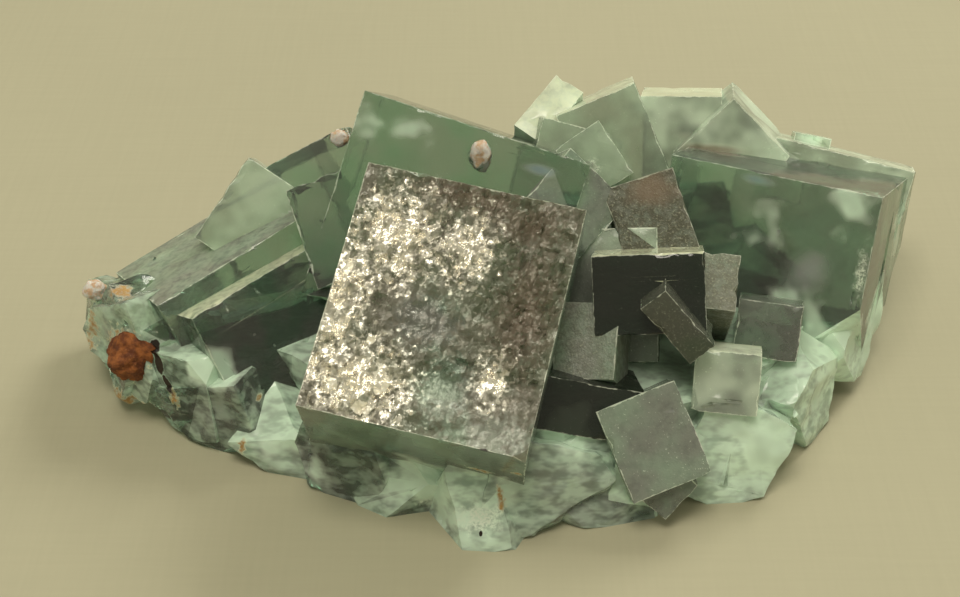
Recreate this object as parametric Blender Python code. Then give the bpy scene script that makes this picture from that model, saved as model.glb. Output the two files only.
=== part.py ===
"""A fluorite specimen: green cubes grown through one another on a broken, cleaved base.

The whole cluster is one solid, because its crystals grew together. A rusty lump sits in a
pocket at the left tip, and three small pale grains sit in pits on the crystals.
Lengths are in millimetres in the lists below and in metres in the scene. +Z is up, -Y is
the front, and the specimen rests on the flat part of its underside at Z = 0.
"""

from itertools import product
from math import cos, radians, sin
from random import Random
from typing import NamedTuple

import bmesh
import bpy
from mathutils import Matrix, Vector, noise

MM = 0.001
NAME = "fluorite_specimen"

# Driving dimensions.
PLAN_CENTRE = (4.2, 12.6)  # middle of the plan, moved to the origin
BASE_HEIGHT = 13.6  # thickness of the broken mass under the crystals
SEAT_GAP = 0.3  # air between the cluster and a grain that sits in it
ETCH_DEPTH = 0.9  # relief of the rough face of the largest cube
ETCH_CELLS = 40  # cells along one edge of that relief
ETCH_RIM = 0.4  # share of the relief that is left along the edges of that face
HOLLOWS = 0.13  # hollows of that relief in a millimetre
BLOCKS = (0.42, 0.30)  # its blocky steps in a millimetre, across and along
GRAIN = 0.55  # its grains in a millimetre
LAYER_THICKNESS = 2.0  # growth layers, most of it sunk in the crystal
LAYER_RISE = (0.15, 0.35)  # how far they stand off their faces
LAYER_WIDTH = (0.3, 0.6)  # their sides, as shares of the crystal's
LAYER_MARGIN = 1.2  # distance they keep from the edges of their faces
LUMP_SWELL = 0.35  # unevenness of the small lumps
LUMP_BUMPS = 1.7  # bumps across half a lump
BREAK_CHANCE = 0.75  # share of the corners of the rim's blocks that are broken off
BREAK_KEEP = 0.55  # least share of the way to the corner that a break keeps
RIM_ROLL = 32  # degrees that the rim's blocks lean to either side
WELD = 1e-7  # metres between points that are one

FLUORITE_IOR = 1.434
COLOURS = {
    "fluorite": ((0.42, 0.60, 0.50), 0.12, 0.75),
    "iron_oxide": ((0.26, 0.09, 0.025), 0.9, 0.0),
    "pale_grain": ((0.82, 0.74, 0.66), 0.7, 0.0),
}


class Crystal(NamedTuple):
    """A cube or block: where its front face looks, its middle, and its sides.

    facing is the front face's azimuth from -Y towards +X, its elevation, and its turn in
    its own plane, in degrees. size is width, height and depth along the crystal's axes.
    chips are broken corners: which corner, and the share of the way out to it that is kept.
    """

    facing: tuple
    middle: tuple
    size: tuple
    chips: tuple = ()


class Wall(NamedTuple):
    """A broken block of the base, standing on a foot point with its outer face leaning back."""

    foot: tuple
    azimuth: float
    lean: float
    size: tuple  # width, depth and height


class Grain(NamedTuple):
    """A lump of another mineral in a pocket: its middle, half sizes, material and roundness."""

    middle: tuple
    radii: tuple
    material: str
    rounds: int


CRYSTALS = {
    "main": Crystal((-1, 59, -13), (-4.8, -0.8, 17.8), (32, 37.5, 30), (((1, -1, 1), 0.96),)),
    "left_front": Crystal((34, 28, 10), (-26.0, 13.3, 9.9), (38, 25.5, 14.5)),
    "left_rear": Crystal((29, 21, 15), (-32.5, 22.4, 10.5), (40, 24, 24)),
    "left_peak": Crystal((4, 34, -36), (-34.2, 26.3, 19.9), (15, 15, 15)),
    "left_slab": Crystal((-17, 39, 36), (-22.1, 28.5, 22.3), (15, 18, 14)),
    "left_low": Crystal((-17, 39, 30), (-18.0, 19.0, 24.6), (16, 16, 14)),
    "back": Crystal((-6, 32, -15), (-4.1, 24.3, 21.0), (35.5, 32, 28)),
    "right": Crystal(
        (-27, 22, 3), (48.2, 25.1, 14.1), (33, 31, 27), (((1, -1, 1), 0.7), ((1, -1, -1), 0.6))
    ),
    "right_rear": Crystal((-16, 29, -6), (55.3, 34.2, 13.8), (26, 26, 16)),
    "dark_block": Crystal((-8, 32, 7), (24.7, 2.1, 25.1), (16, 11.5, 14)),
    "grey_block": Crystal((-1, 60, -8), (33.2, 6.0, 21.2), (9, 9, 12)),
    "dusty": Crystal((-8, 45, 23), (26.4, 16.3, 25.0), (11, 15, 14)),
    "tilted": Crystal((-1, 40, 23), (24.6, -12.6, 9.1), (12, 14, 12)),
    "low_dark": Crystal((4, 24, -13), (15.0, -7.6, 13.1), (14.5, 8, 14)),
    "knob": Crystal((-25, 47, 13), (16.4, -3.5, 19.2), (9, 11, 9)),
    "lozenge": Crystal((-6, 14, 43), (28.0, -5.2, 25.8), (4.5, 11, 7)),
    "ledge": Crystal((-10, 31, 1), (36.0, -5.1, 14.5), (9.5, 9, 10)),
    "sunk_block": Crystal((-12, 31, 0), (43.4, 5.1, 15.8), (9.5, 8.5, 10)),
    "wedge": Crystal((16, 38, -52), (12.6, 17.9, 28.7), (12, 12, 12)),
    "roof_left": Crystal((-4, 25, 25), (21.9, 40.6, 26.3), (13.5, 16, 13)),
    "roof_small": Crystal((-4, 32, 36), (18.0, 34.0, 26.5), (9, 10, 9)),
    "roof_mid": Crystal((-9, 24, 4), (33.2, 42.3, 25.3), (13, 16, 13)),
    "roof_low": Crystal((8, 30, -18), (15.0, 37.5, 21.5), (16, 16, 14)),
    "inner": Crystal((-12, 40, 8), (19.0, 13.0, 15.0), (18, 20, 20)),
    "roof_right": Crystal((-8, 18, -42), (40.9, 39.0, 26.5), (13, 13, 13.5)),
    "far_right": Crystal((-9, 30, -6), (54.4, 42.5, 20.5), (6, 10, 10)),
    "blade": Crystal((-3, 59, -35), (11.2, 42.0, 30.2), (5.5, 11.5, 5)),
    "toe": Crystal((1, 20, -41), (26.0, -16.5, 5.5), (7, 7, 8)),
}

LAYERED = ("left_front", "left_rear", "back", "right", "right_rear", "dark_block", "tilted", "ledge")

WALLS = (
    Wall((-62, 15, 5), -72, 10, (12, 6.5, 9.5)),
    Wall((-58.5, 8, 4.5), -58, 12, (13, 11, 14)),
    Wall((-53, 2, 3), -40, 8, (14, 13, 16)),
    Wall((-46, -2, 1), -32, 6, (15, 13, 13.5)),
    Wall((-39, -5.5, 0), -24, 4, (15, 12.5, 11.5)),
    Wall((-31.5, -10, 0), -14, 10, (15, 14, 8.5)),
    Wall((-23, -14.3, 0), -22, 14, (15, 14, 12)),
    Wall((-13, -19.6, 0), -30, 30, (16, 14, 12)),
    Wall((-3.5, -25.6, 0), -4, 34, (15, 17, 13)),
    Wall((8, -23.6, 0), 8, 24, (18, 18, 14)),
    Wall((18, -21.2, 0), 14, 30, (15, 17, 14)),
    Wall((27, -18.8, 0), 10, 20, (15, 17, 14)),
    Wall((33, -16.6, 0), 4, 24, (14, 18, 16)),
    Wall((39.5, -12.8, 0), 46, 16, (12, 15, 14)),
    Wall((46, -6, 0), 58, 22, (13, 15, 13)),
    Wall((53.6, 1.2, 1), 56, 7, (14, 15, 14)),
    Wall((59.3, 8.6, 3), 58, 8, (15, 14, 14)),
    Wall((60.5, 15, 4), 62, 10, (14, 13, 13)),
    Wall((60, 24, 2), 84, 10, (17, 16, 12)),
    Wall((57, 40, 1), 130, 20, (18, 17, 13)),
    Wall((40, 50, 0), 172, 12, (20, 18, 15)),
    Wall((20, 51, 0), 186, 22, (20, 18, 15)),
    Wall((0, 43, 0), 204, 14, (20, 18, 15)),
    Wall((-20, 38, 0), 186, 20, (20, 18, 14)),
    Wall((-39, 34, 1), 200, 12, (19, 16, 13)),
    Wall((-53, 27, 5), 232, 18, (14, 6, 9.5)),
)

SEATED = {
    "iron_oxide_lump": Grain((-52.5, 2.6, 12.0), (3.3, 2.6, 3.5), "iron_oxide", 3),
    "pale_grain_back": Grain((0.0, 18.4, 37.8), (1.4, 1.3, 2.3), "pale_grain", 2),
    "pale_grain_left": Grain((-21.7, 29.5, 33.9), (1.5, 1.3, 1.2), "pale_grain", 2),
    "pale_grain_tip": Grain((-60.0, 14.8, 15.2), (1.6, 1.5, 1.4), "pale_grain", 2),
}

CORE_OUTLINE = (
    (-50, 12), (-38, 6), (-28, 1), (-18, -8), (-8, -15), (12, -15), (32, -9), (44, 0),
    (55, 16), (55, 36), (42, 44), (18, 45), (-6, 36), (-34, 32), (-52, 24),
)


def in_place(point):
    """A point of the lists, moved over the origin and turned into metres."""
    return Vector((point[0] - PLAN_CENTRE[0], point[1] - PLAN_CENTRE[1], point[2])) * MM


def turned(azimuth, elevation, roll):
    """The axes of a block whose front face looks along azimuth and elevation."""
    az, el, turn = radians(azimuth), radians(elevation), radians(roll)
    front = Vector((sin(az) * cos(el), -cos(az) * cos(el), sin(el)))
    level = Vector((cos(az), sin(az), 0))
    rise = front.cross(level)
    across = cos(turn) * level + sin(turn) * rise
    along = -sin(turn) * level + cos(turn) * rise
    return Matrix((across, along, front)).transposed()


def make_material(name):
    """A plain material with the colour, roughness and clearness of one mineral."""
    colour, roughness, clearness = COLOURS[name]
    material = bpy.data.materials.new(name)
    material.use_nodes = True
    shader = material.node_tree.nodes["Principled BSDF"]
    shader.inputs["Base Color"].default_value = (*colour, 1.0)
    shader.inputs["Roughness"].default_value = roughness
    shader.inputs["Transmission Weight"].default_value = clearness
    shader.inputs["IOR"].default_value = FLUORITE_IOR
    return material


def new_object(name, mesh, collection, cutter=True):
    """An object of a bmesh in a collection, hidden from the render if it only shapes others."""
    bmesh.ops.recalc_face_normals(mesh, faces=mesh.faces)
    data = bpy.data.meshes.new(name)
    mesh.to_mesh(data)
    mesh.free()
    obj = bpy.data.objects.new(name, data)
    collection.objects.link(obj)
    if cutter:
        obj.hide_render = True
        obj.display_type = "WIRE"
    return obj


def block_mesh(size):
    """A closed block about the origin, in metres."""
    mesh = bmesh.new()
    bmesh.ops.create_cube(mesh, size=1.0)
    bmesh.ops.scale(mesh, vec=Vector(size) * MM, verts=mesh.verts)
    return mesh


def cleave(mesh, point, normal):
    """Cuts away what lies beyond a plane and closes the cut."""
    everything = mesh.verts[:] + mesh.edges[:] + mesh.faces[:]
    cut = bmesh.ops.bisect_plane(
        mesh, geom=everything, plane_co=point, plane_no=normal, clear_outer=True
    )
    rim = [item for item in cut["geom_cut"] if isinstance(item, bmesh.types.BMEdge)]
    if rim:
        bmesh.ops.edgeloop_fill(mesh, edges=rim)


def break_corner(mesh, size, corner, keep):
    """Takes one corner off a block along its octahedral cleavage."""
    signs = Vector(corner)
    cleave(mesh, signs * Vector(size) * MM / 2 * keep, signs.normalized())


def break_corners(mesh, size, random):
    """Takes most corners off a block of the rim, some deeper than others."""
    for corner in product((-1, 1), repeat=3):
        keep = random.uniform(BREAK_KEEP, 1.0)
        if random.random() < BREAK_CHANCE:
            break_corner(mesh, size, corner, keep)


def etched_height(across, along):
    """Relief of the rough face: blocky steps on larger hollows, between -1 and 0."""
    hollow = noise.noise(Vector((across * HOLLOWS, along * HOLLOWS, 3.7)))
    block = noise.cell(Vector((across * BLOCKS[0], along * BLOCKS[1], 9.2)))
    grain = noise.noise(Vector((across * GRAIN, along * GRAIN, 5.1)))
    return max(-1.0, min(0.0, -0.45 + 0.55 * hollow + 0.35 * (block - 0.5) + 0.35 * grain))


def etch_front(mesh, size):
    """Divides the front face of a block into a fine grid and sinks it unevenly."""
    front = max(mesh.faces, key=lambda face: face.calc_center_median().z)
    bmesh.ops.subdivide_edges(
        mesh, edges=list(front.edges), cuts=ETCH_CELLS - 1, use_grid_fill=True
    )
    top = size[2] * MM / 2
    for vertex in mesh.verts:
        if abs(vertex.co.z - top) < WELD:
            x, y = vertex.co.x / MM, vertex.co.y / MM
            on_rim = max(2 * abs(x) / size[0], 2 * abs(y) / size[1]) > 0.999
            share = ETCH_RIM if on_rim else 1.0
            vertex.co.z += etched_height(x, y) * ETCH_DEPTH * MM * share


def make_crystal(name, crystal, collection):
    """One cube of the cluster, with a few corners chipped."""
    mesh = block_mesh(crystal.size)
    if name == "main":
        etch_front(mesh, crystal.size)
    for corner, keep in crystal.chips:
        break_corner(mesh, crystal.size, corner, keep)
    place = Matrix.Translation(in_place(crystal.middle)) @ turned(*crystal.facing).to_4x4()
    mesh.transform(place)
    return new_object(name, mesh, collection)


def make_layers(name, crystal, collection):
    """Thin growth layers that lie on three faces of a crystal, away from its edges."""
    random = Random(name)
    place = Matrix.Translation(in_place(crystal.middle)) @ turned(*crystal.facing).to_4x4()
    for number, axis in enumerate((2, 2, 1, 0)):
        size = [side * random.uniform(*LAYER_WIDTH) for side in crystal.size]
        offset = [
            (side - layer - 2 * LAYER_MARGIN) * random.uniform(-0.5, 0.5)
            for side, layer in zip(crystal.size, size)
        ]
        size[axis] = LAYER_THICKNESS
        outside = (crystal.size[axis] - LAYER_THICKNESS) / 2
        offset[axis] = outside + random.uniform(*LAYER_RISE)
        mesh = block_mesh(size)
        mesh.transform(place @ Matrix.Translation(Vector(offset) * MM))
        new_object(f"{name}_layer_{number}", mesh, collection)


def make_lump(name, grain, collection, grow, cutter):
    """A rough lump, or the pocket around it when it is grown by a gap."""
    mesh = bmesh.new()
    bmesh.ops.create_icosphere(mesh, subdivisions=grain.rounds, radius=1.0)
    for vertex in mesh.verts:
        outward = vertex.co.normalized()
        swell = 1.0 + LUMP_SWELL * noise.noise(outward * LUMP_BUMPS + Vector(grain.middle))
        at = Vector(grain.radii) * outward * swell
        vertex.co = (at + at.normalized() * grow) * MM
    bmesh.ops.translate(mesh, vec=in_place(grain.middle), verts=mesh.verts)
    return new_object(name, mesh, collection, cutter)


def make_wall(number, wall, collection):
    """One broken block of the base's rim."""
    random = Random(number)
    width, depth, height = wall.size
    mesh = block_mesh((width, height, depth))
    break_corners(mesh, (width, height, depth), random)
    axes = turned(wall.azimuth, wall.lean, random.uniform(-RIM_ROLL, RIM_ROLL))
    foot = axes @ (Vector((0, -height, depth)) * MM / 2)
    mesh.transform(Matrix.Translation(in_place(wall.foot) - foot) @ axes.to_4x4())
    return new_object(f"wall_{number}", mesh, collection)


def make_core(collection):
    """The middle of the base, a thick plate with a broken outline."""
    curve = bpy.data.curves.new("core_outline", "CURVE")
    curve.dimensions = "2D"
    curve.fill_mode = "BOTH"
    curve.extrude = BASE_HEIGHT * MM / 2
    outline = curve.splines.new("POLY")
    outline.points.add(len(CORE_OUTLINE) - 1)
    for point, corner in zip(outline.points, CORE_OUTLINE):
        point.co = (*in_place((*corner, 0)), 1.0)
    outline.use_cyclic_u = True
    plate = bpy.data.objects.new("core_plate", curve)
    mesh = bmesh.new()
    mesh.from_mesh(bpy.data.meshes.new_from_object(plate))
    bpy.data.objects.remove(plate)
    bmesh.ops.remove_doubles(mesh, verts=mesh.verts, dist=WELD)
    bmesh.ops.translate(mesh, vec=(0, 0, BASE_HEIGHT * MM / 2), verts=mesh.verts)
    return new_object("fluorite_cluster", mesh, collection, cutter=False)


def make_under_floor(collection):
    """What is below the surface that the specimen rests on."""
    mesh = block_mesh((200, 160, 60))
    bmesh.ops.translate(mesh, vec=(0, 0, -30 * MM), verts=mesh.verts)
    return new_object("under_floor", mesh, collection)


def add_boolean(obj, operation, other):
    """A live Boolean with an object or with a whole collection."""
    modifier = obj.modifiers.new(other.name, "BOOLEAN")
    modifier.operation = operation
    modifier.solver = "EXACT"
    if isinstance(other, bpy.types.Collection):
        modifier.operand_type = "COLLECTION"
        modifier.collection = other
    else:
        modifier.object = other


def main():
    for obj in list(bpy.data.objects):
        bpy.data.objects.remove(obj)
    parts = bpy.data.collections.new(NAME)
    grown = bpy.data.collections.new("grown_together")
    cutters = bpy.data.collections.new("cutters")
    for collection in (parts, grown, cutters):
        bpy.context.scene.collection.children.link(collection)
    for name, crystal in CRYSTALS.items():
        make_crystal(name, crystal, grown)
    for name in LAYERED:
        make_layers(name, CRYSTALS[name], grown)
    for number, wall in enumerate(WALLS):
        make_wall(number, wall, grown)
    materials = {name: make_material(name) for name in COLOURS}
    cluster = make_core(parts)
    cluster.data.materials.append(materials["fluorite"])
    add_boolean(cluster, "UNION", grown)
    add_boolean(cluster, "DIFFERENCE", make_under_floor(cutters))
    for name, grain in SEATED.items():
        pocket = make_lump(f"{name}_pocket", grain, cutters, SEAT_GAP, True)
        add_boolean(cluster, "DIFFERENCE", pocket)
        lump = make_lump(name, grain, parts, 0.0, False)
        lump.data.materials.append(materials[grain.material])


main()
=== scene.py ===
"""Looks of the fluorite specimen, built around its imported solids.

The green cluster is one closed body of clear crystal that darkens with depth. Its largest
cube has a finely etched face, its base is hackly where it broke, and dust, haze and rusty
stains lie on it in places. Lengths in the lists are in millimetres, in the part's frame.
"""

from math import cos, radians, sin
from typing import NamedTuple

import bmesh
import bpy
import numpy as np
from mathutils import Matrix, Vector, noise


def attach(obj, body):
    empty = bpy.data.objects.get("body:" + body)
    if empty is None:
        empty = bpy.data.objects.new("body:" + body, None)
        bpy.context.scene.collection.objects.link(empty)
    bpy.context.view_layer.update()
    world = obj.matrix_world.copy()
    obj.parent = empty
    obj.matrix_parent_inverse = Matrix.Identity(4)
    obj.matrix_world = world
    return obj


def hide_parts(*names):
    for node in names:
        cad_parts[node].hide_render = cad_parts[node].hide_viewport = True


bl_info = {
    "name": "Fluorite Specimen",
    "version": (1, 0, 0),
    "blender": (4, 5, 0),
    "location": "3D View > Sidebar > Fluorite",
    "description": "Dresses the solids of a fluorite specimen and sets its stage",
    "category": "Object",
}

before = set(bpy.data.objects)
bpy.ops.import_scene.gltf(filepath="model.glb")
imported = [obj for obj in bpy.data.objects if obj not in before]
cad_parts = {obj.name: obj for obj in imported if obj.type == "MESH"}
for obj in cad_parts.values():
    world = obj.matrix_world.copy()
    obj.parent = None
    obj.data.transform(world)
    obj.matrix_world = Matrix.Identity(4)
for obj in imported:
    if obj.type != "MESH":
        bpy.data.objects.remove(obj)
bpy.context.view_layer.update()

MM = 0.001
PLAN_CENTRE = (4.2, 12.6)  # the lists' own middle, which the part moves to its origin


class Crystal(NamedTuple):
    """A cube of the cluster and its finish.

    facing is its front face's azimuth from -Y, elevation, and turn, in degrees. The rest
    go from 0 to 1: the dust on it, its milkiness, painted shade for its dark depths, and a
    pale painted sheen on those of its faces that look up, for the light from above.
    """

    facing: tuple
    middle: tuple
    size: tuple
    dust: float
    haze: float
    shade: float = 0.0
    painted_sheen: float = 0.0


CRYSTALS = {
    "main": Crystal((-1, 59, -13), (-4.8, -0.8, 17.8), (32, 37.5, 30), 0.05, 0.65),
    "left_front": Crystal((34, 28, 10), (-26.0, 13.3, 9.9), (38, 25.5, 14.5), 0.0, 0.08, 0.3, 0.85),
    "left_rear": Crystal((29, 21, 15), (-32.5, 22.4, 10.5), (40, 24, 24), 0.05, 0.4, 0.0, 0.3),
    "left_peak": Crystal((4, 34, -36), (-34.2, 26.3, 19.9), (15, 15, 15), 0.05, 0.9, 0.0, 0.2),
    "left_slab": Crystal((-17, 39, 36), (-22.1, 28.5, 22.3), (15, 18, 14), 0.1, 0.3),
    "left_low": Crystal((-17, 39, 30), (-18.0, 19.0, 24.6), (16, 16, 14), 0.1, 0.2),
    "back": Crystal((-6, 32, -15), (-4.1, 24.3, 21.0), (35.5, 32, 28), 0.05, 0.2),
    "right": Crystal((-27, 22, 3), (48.2, 25.1, 14.1), (33, 31, 27), 0.05, 0.35),
    "right_rear": Crystal((-16, 29, -6), (55.3, 34.2, 13.8), (26, 26, 16), 0.1, 1.1, 0.0, 0.2),
    "dark_block": Crystal((-8, 32, 7), (24.7, 2.1, 25.1), (16, 11.5, 14), 0.0, 0.0, 0.97, 1.0),
    "grey_block": Crystal((-1, 60, -8), (33.2, 6.0, 21.2), (9, 9, 12), 0.92, 0.1, 0.5, 0.1),
    "dusty": Crystal((-8, 45, 23), (26.4, 16.3, 25.0), (11, 15, 14), 1.0, 0.1, 0.65),
    "tilted": Crystal((-1, 40, 23), (24.6, -12.6, 9.1), (12, 14, 12), 0.35, 0.5, 0.0, 0.3),
    "low_dark": Crystal((4, 24, -13), (15.0, -7.6, 13.1), (14.5, 8, 14), 0.0, 0.0, 0.97),
    "knob": Crystal((-25, 47, 13), (16.4, -3.5, 19.2), (9, 11, 9), 0.8, 0.3),
    "lozenge": Crystal((-6, 14, 43), (28.0, -5.2, 25.8), (4.5, 11, 7), 0.4, 0.0, 0.9),
    "ledge": Crystal((-10, 31, 1), (36.0, -5.1, 14.5), (9.5, 9, 10), 0.1, 1.15, 0.0, 0.5),
    "sunk_block": Crystal((-12, 31, 0), (43.4, 5.1, 15.8), (9.5, 8.5, 10), 0.2, 0.25, 0.1),
    "wedge": Crystal((16, 38, -52), (12.6, 17.9, 28.7), (12, 12, 12), 0.3, 0.4),
    "roof_left": Crystal((-4, 25, 25), (21.9, 40.6, 26.3), (13.5, 16, 13), 0.1, 0.8, 0.0, 0.6),
    "roof_small": Crystal((-4, 32, 36), (18.0, 34.0, 26.5), (9, 10, 9), 0.1, 0.8),
    "roof_mid": Crystal((-9, 24, 4), (33.2, 42.3, 25.3), (13, 16, 13), 0.05, 1.4, 0.0, 0.8),
    "roof_low": Crystal((8, 30, -18), (15.0, 37.5, 21.5), (16, 16, 14), 0.1, 0.8, 0.0, 0.4),
    "inner": Crystal((-12, 40, 8), (19.0, 13.0, 15.0), (18, 20, 20), 0.3, 0.7),
    "roof_right": Crystal((-8, 18, -42), (40.9, 39.0, 26.5), (13, 13, 13.5), 0.05, 1.4, 0.0, 0.6),
    "far_right": Crystal((-9, 30, -6), (54.4, 42.5, 20.5), (6, 10, 10), 0.05, 1.0, 0.0, 0.3),
    "blade": Crystal((-3, 59, -35), (11.2, 42.0, 30.2), (5.5, 11.5, 5), 0.0, 1.0, 0.0, 0.6),
    "toe": Crystal((1, 20, -41), (26.0, -16.5, 5.5), (7, 7, 8), 0.3, 0.3),
}


def in_place(point):
    """A point of the lists, in the part's frame and in metres."""
    return Vector((point[0] - PLAN_CENTRE[0], point[1] - PLAN_CENTRE[1], point[2])) * MM


def turned(azimuth, elevation, roll):
    """The axes of a block whose front face looks along azimuth and elevation."""
    az, el, turn = radians(azimuth), radians(elevation), radians(roll)
    front = Vector((sin(az) * cos(el), -cos(az) * cos(el), sin(el)))
    level = Vector((cos(az), sin(az), 0))
    rise = front.cross(level)
    across = cos(turn) * level + sin(turn) * rise
    along = -sin(turn) * level + cos(turn) * rise
    return Matrix((across, along, front)).transposed()


def select_none():
    if bpy.context.mode != "OBJECT":
        bpy.ops.object.mode_set(mode="OBJECT")
    bpy.ops.object.select_all(action="DESELECT")


def make_active(obj):
    select_none()
    obj.select_set(True)
    bpy.context.view_layer.objects.active = obj


def merged_copy(node, name):
    """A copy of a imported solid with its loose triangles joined."""
    select_none()
    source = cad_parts[node]
    piece = source.copy()
    piece.data = source.data.copy()
    piece.parent = None
    for key in list(piece.keys()):
        del piece[key]
    piece.name = piece.data.name = name
    bpy.context.scene.collection.objects.link(piece)
    make_active(piece)
    bpy.ops.object.mode_set(mode="EDIT")
    bpy.ops.mesh.select_all(action="SELECT")
    bpy.ops.mesh.remove_doubles(threshold=1e-6)
    bpy.ops.object.mode_set(mode="OBJECT")
    return piece


def finish_piece(piece, node, material):
    """Stands a piece in for its node and gives it its material."""
    piece.data.materials.clear()
    piece.data.materials.append(material)
    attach(piece, "root")
    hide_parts(node)


class Shader:
    """A material whose nodes are added and linked a line at a time."""

    def __init__(self, name):
        self.material = bpy.data.materials.new(name)
        self.material.use_nodes = True
        self.tree = self.material.node_tree
        self.surface = self.tree.nodes["Principled BSDF"]
        self.surface.subsurface_method = "BURLEY"

    def feed(self, socket, value):
        if isinstance(value, bpy.types.NodeSocket):
            self.tree.links.new(value, socket)
        else:
            socket.default_value = value

    def finish(self, **inputs):
        """Feeds the main shader. A word with _ stands for a socket's name with spaces."""
        for name, value in inputs.items():
            self.feed(self.surface.inputs[name.replace("_", " ")], value)

    def add(self, kind, inputs, output=0, **settings):
        node = self.tree.nodes.new(kind)
        for name, value in settings.items():
            setattr(node, name, value)
        for name, value in inputs.items():
            self.feed(node.inputs[name], value)
        return node.outputs[output]

    def math(self, operation, first, second=0.0):
        return self.add("ShaderNodeMath", {0: first, 1: second}, operation=operation)

    def times(self, *values):
        result = values[0]
        for value in values[1:]:
            result = self.math("MULTIPLY", result, value)
        return result

    def plus(self, *values):
        result = values[0]
        for value in values[1:]:
            result = self.math("ADD", result, value)
        return result

    def less(self, first, second):
        return self.math("SUBTRACT", first, second)

    def ramp(self, value, low, high, to_low=0.0, to_high=1.0):
        """A smooth step from one value to another, held at both ends."""
        inputs = {0: value, 1: low, 2: high, 3: to_low, 4: to_high}
        return self.add("ShaderNodeMapRange", inputs, interpolation_type="SMOOTHSTEP")

    def mix(self, share, first, second):
        inputs = {"Factor": share, 6: first, 7: second}
        return self.add("ShaderNodeMix", inputs, output=2, data_type="RGBA")

    def millimetres(self):
        coordinates = self.add("ShaderNodeTexCoord", {}, output="Object")
        inputs = {0: coordinates, "Scale": 1 / MM}
        return self.add("ShaderNodeVectorMath", inputs, operation="SCALE")

    def stretched(self, vector, factors):
        return self.add("ShaderNodeVectorMath", {0: vector, 1: factors}, operation="MULTIPLY")

    def noise(self, vector, scale, detail=2.0, roughness=0.5, distortion=0.0):
        inputs = {
            "Vector": vector, "Scale": scale, "Detail": detail,
            "Roughness": roughness, "Distortion": distortion,
        }
        return self.add("ShaderNodeTexNoise", inputs, output="Fac")

    def shards(self, vector, scale):
        """A random colour for each of many angular cells in a plane."""
        inputs = {"Vector": vector, "Scale": scale}
        return self.add(
            "ShaderNodeTexVoronoi", inputs, output="Color", voronoi_dimensions="2D"
        )

    def attribute(self, name, output="Fac"):
        return self.add("ShaderNodeAttribute", {}, output=output, attribute_name=name)

    def bump(self, height, depth_mm, strength):
        inputs = {"Height": height, "Distance": depth_mm * MM, "Strength": strength}
        return self.add("ShaderNodeBump", inputs)

    def patches(self, place, kind, ragged):
        """1 inside the ragged ellipsoids of a kind and 0 outside them."""
        soft, raggedness = EDGES[kind]
        nearest = None
        for middle, radii, turn in (patch[1:] for patch in PATCHES if patch[0] == kind):
            if any(turn):
                angles = [radians(angle) for angle in turn]
                mapping = {
                    "Vector": place, "Location": middle, "Scale": radii, "Rotation": angles,
                }
                local = self.add("ShaderNodeMapping", mapping, vector_type="TEXTURE")
            else:
                parts = {0: place, 1: [-length for length in middle]}
                local = self.add("ShaderNodeVectorMath", parts, operation="ADD")
                local = self.stretched(local, [1 / radius for radius in radii])
            far = self.add("ShaderNodeVectorMath", {0: local}, output="Value", operation="LENGTH")
            nearest = far if nearest is None else self.math("MINIMUM", nearest, far)
        wobble = self.times(self.less(ragged, 0.5), 2 * raggedness)
        return self.ramp(self.plus(nearest, wobble), 1.0, soft)


# For each kind of patch: how far in its soft edge reaches, and how ragged that is.
EDGES = {
    "rust": (0.1, 1.2), "dark": (0.7, 0.35), "frost": (0.0, 0.8), "cloud": (0.0, 2.2),
    "blue": (0.0, 0.5), "violet": (0.0, 0.8), "brown": (0.1, 0.9),
    "painted_glint": (0.3, 1.5), "tarnish": (0.2, 1.3), "calm": (0.3, 1.1),
    "mist": (0.0, 0.9), "plate": (0.8, 0.5),
}

CRISP_KINDS = ("rust", "dark", "frost")
SOFT_KINDS = ("cloud", "blue", "violet", "brown")
ETCHED_KINDS = ("painted_glint", "tarnish", "calm", "mist", "plate")
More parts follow.
